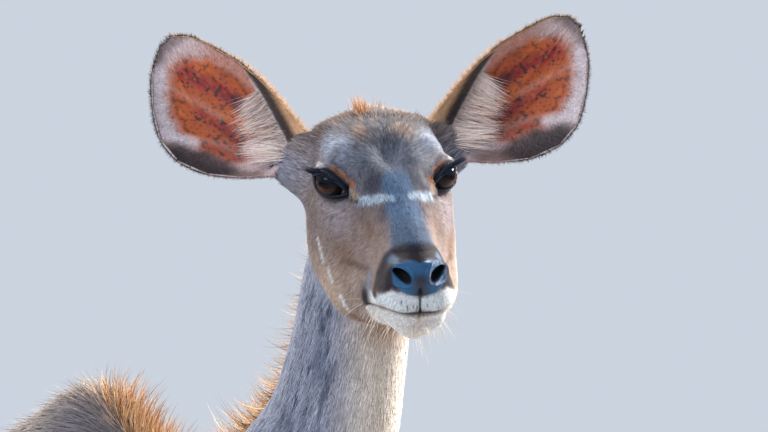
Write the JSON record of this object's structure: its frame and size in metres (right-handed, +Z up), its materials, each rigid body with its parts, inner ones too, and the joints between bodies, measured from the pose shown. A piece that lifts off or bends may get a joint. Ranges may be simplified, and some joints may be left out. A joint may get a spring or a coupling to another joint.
{
  "type": "greater kudu",
  "caption": "Still life-size model of a greater kudu cow, standing with the head raised and turned, large cupped ears spread, low crest along the neck and back.",
  "frame": {"origin": "on the floor under the middle of the animal's overall box, with every hoof sole at z = 0", "axes": "+Z up; the animal faces -Y, so +Y runs back to its tail; +X is the animal's left"},
  "size_m": [0.4145, 1.7962, 1.7448],
  "materials": {
    "hide": "short grey-brown coat",
    "pale_hide": "short tawny coat of the lower legs",
    "ear_skin": "thin warm skin inside, short grey-brown coat outside",
    "brush": "longer tail hair, brown above and white beneath",
    "eye": "wet dark brown",
    "horn": "dark smooth hoof horn"
  },
  "bodies": {
    "root": {"head": "hide", "neck_upper": "hide", "neck_lower": "hide", "torso": "hide", "tail": "brush", "ear_left": "ear_skin", "ear_right": "ear_skin", "eye_left": "eye", "eye_right": "eye", "front_left_upper": "hide", "front_left_lower": "pale_hide", "front_left_foot": "pale_hide", "front_left_hoof_inner": "horn", "front_left_hoof_outer": "horn", "front_right_upper": "hide", "front_right_lower": "pale_hide", "front_right_foot": "pale_hide", "front_right_hoof_inner": "horn", "front_right_hoof_outer": "horn", "hind_left_upper": "hide", "hind_left_lower": "pale_hide", "hind_left_foot": "pale_hide", "hind_left_hoof_inner": "horn", "hind_left_hoof_outer": "horn", "hind_right_upper": "hide", "hind_right_lower": "pale_hide", "hind_right_foot": "pale_hide", "hind_right_hoof_inner": "horn", "hind_right_hoof_outer": "horn"}
  },
  "joints": []
}
